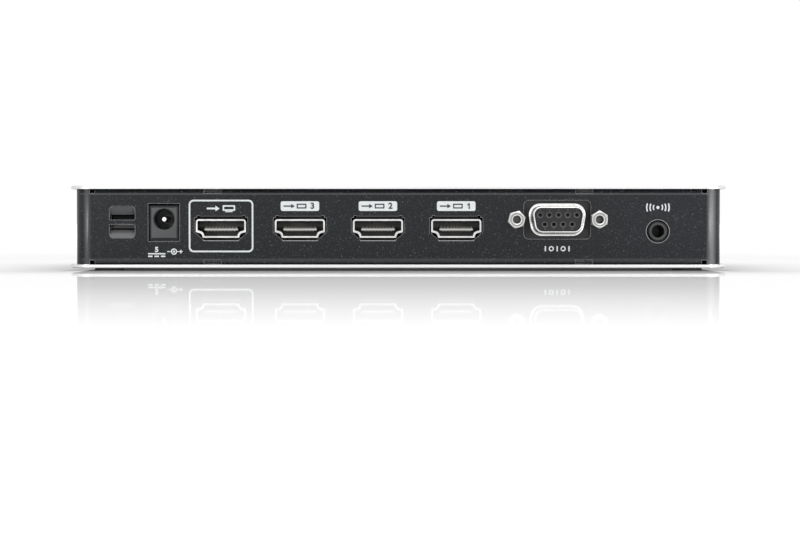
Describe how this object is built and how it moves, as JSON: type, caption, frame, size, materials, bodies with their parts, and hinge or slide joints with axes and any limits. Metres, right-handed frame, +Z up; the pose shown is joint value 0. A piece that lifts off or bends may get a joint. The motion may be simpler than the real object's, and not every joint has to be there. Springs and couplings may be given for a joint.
{
  "type": "video switch box",
  "caption": "Flat video switch box with a black sheet-metal body between silver plates, a rear row of sockets, a serial port and a front select button.",
  "frame": {"origin": "middle of the bounding box in plan, on the surface under the rubber feet", "axes": "+Z up; the connector panel faces -Y and the front bezel +Y; +X runs from the power inlet towards the infrared jack"},
  "size_m": [0.2, 0.0808, 0.0258],
  "materials": {
    "cover_silver": "satin silver-white painted plate",
    "chassis_black": "fine textured black powder coat",
    "bezel_black": "polished black",
    "button_black": "satin black",
    "window_tint": "dark red tint",
    "foot_rubber": "matte",
    "zinc_steel": "zinc plated",
    "nickel_plate": "bright nickel plate",
    "brass_plain": "plain turned brass",
    "contact_gold": "gold flashed",
    "insulator_black": "moulded black",
    "jack_black": "moulded dark grey",
    "board_green": "solder mask",
    "chip_black": "moulded",
    "ferrite_grey": "pressed ferrite",
    "can_aluminium": "drawn can",
    "ceramic_tan": "fired ceramic",
    "light_clear": "frosted clear"
  },
  "bodies": {
    "case": {"audio_jack_contacts": "nickel_plate", "audio_jack_housing": "jack_black", "board_screws": "zinc_steel", "board_standoffs": "brass_plain", "bottom_cover": "cover_silver", "ceramic_capacitors": "ceramic_tan", "controller_chip": "chip_black", "cover_nuts": "zinc_steel", "cover_screws": "zinc_steel", "crystal_can": "zinc_steel", "electrolytic_capacitors": "can_aluminium", "front_bezel": "bezel_black", "infrared_receiver": "chip_black", "infrared_window": "window_tint", "input_1_socket_contacts": "contact_gold", "input_1_socket_insulator": "insulator_black", "input_1_socket_shell": "nickel_plate", "input_2_socket_contacts": "contact_gold", "input_2_socket_insulator": "insulator_black", "input_2_socket_shell": "nickel_plate", "input_3_socket_contacts": "contact_gold", "input_3_socket_insulator": "insulator_black", "input_3_socket_shell": "nickel_plate", "jackscrew_left": "nickel_plate", "jackscrew_right": "nickel_plate", "main_board": "board_green", "output_socket_contacts": "contact_gold", "output_socket_insulator": "insulator_black", "output_socket_shell": "nickel_plate", "power_inductor": "ferrite_grey", "power_jack_housing": "jack_black", "power_jack_pin": "nickel_plate", "power_jack_spring": "nickel_plate", "push_switch_housing": "insulator_black", "rear_chassis": "chassis_black", "regulator_chip": "chip_black", "rubber_feet": "foot_rubber", "serial_chip": "chip_black", "serial_port_brackets": "zinc_steel", "serial_port_contacts": "contact_gold", "serial_port_flange": "insulator_black", "serial_port_housing": "insulator_black", "serial_port_shell": "nickel_plate", "status_light_holders": "insulator_black", "status_lights": "light_clear", "switch_chip": "chip_black", "top_cover": "cover_silver"},
    "button": {"select_button": "button_black", "switch_plunger": "button_black"}
  },
  "joints": [
    {"name": "select_button_press", "type": "slide", "parent": "case", "child": "button", "axis": [0, -1, 0], "range_m": [0, 0.0003], "stiffness_N_per_m": 3000, "springref_m": -0.0002}
  ]
}
